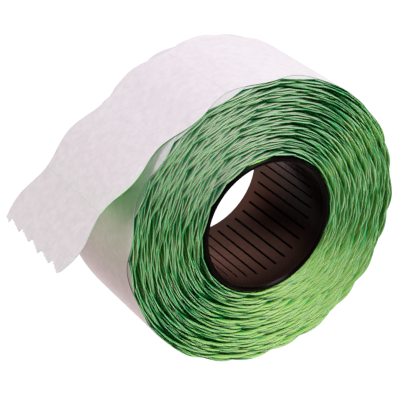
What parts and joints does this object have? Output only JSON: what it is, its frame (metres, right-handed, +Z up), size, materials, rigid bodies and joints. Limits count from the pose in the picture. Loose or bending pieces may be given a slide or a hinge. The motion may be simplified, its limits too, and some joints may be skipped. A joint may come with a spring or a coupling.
{
  "type": "label roll",
  "caption": "Roll of wave-edged self-adhesive labels on a green liner, wound on a grooved plastic core with a free torn end.",
  "frame": {"origin": "centre of the core's bore, halfway along the core", "axes": "+Y along the roll's axis from the front rim to the rear, +Z up, and the loose end leaves towards -X"},
  "size_m": [0.0738, 0.0265, 0.0593],
  "materials": {
    "core_plastic": "moulded, semi-gloss",
    "tape": "matt",
    "liner": "glazed, slightly translucent",
    "label": "matt coated"
  },
  "bodies": {
    "roll": {"core": "core_plastic", "start_tape": "tape", "wound_web": "liner", "outer_liner": "liner", "label_01": "label", "label_02": "label", "label_03": "label", "label_04": "label", "label_05": "label", "label_06": "label", "label_07": "label", "label_08": "label", "label_09": "label", "label_10": "label", "label_11": "label"},
    "tail_1": {"tail_liner_1": "liner", "tail_label_1": "label"},
    "tail_2": {"tail_liner_2": "liner", "tail_label_2": "label"},
    "tail_3": {"tail_liner_3": "liner"},
    "end_label": {"tail_label_3": "label"}
  },
  "joints": [
    {"name": "tail_lift", "type": "hinge", "parent": "roll", "child": "tail_1", "pos_m": [-0.00796, 0, 0.02856], "axis": [0, 1, 0], "range_deg": [0, 30], "stiffness_Nm_per_rad": 0.001},
    {"name": "tail_bend_1", "type": "hinge", "parent": "tail_1", "child": "tail_2", "pos_m": [-0.02202, 0, 0.02106], "axis": [0, 1, 0], "range_deg": [-15, 30], "stiffness_Nm_per_rad": 0.001},
    {"name": "tail_bend_2", "type": "hinge", "parent": "tail_2", "child": "tail_3", "pos_m": [-0.03426, 0, 0.01079], "axis": [0, 1, 0], "range_deg": [-25, 30], "stiffness_Nm_per_rad": 0.0005},
    {"name": "end_label_peel", "type": "hinge", "parent": "tail_3", "child": "end_label", "pos_m": [-0.03436, 0, 0.0108], "axis": [0, 1, 0], "range_deg": [0, 60]}
  ]
}
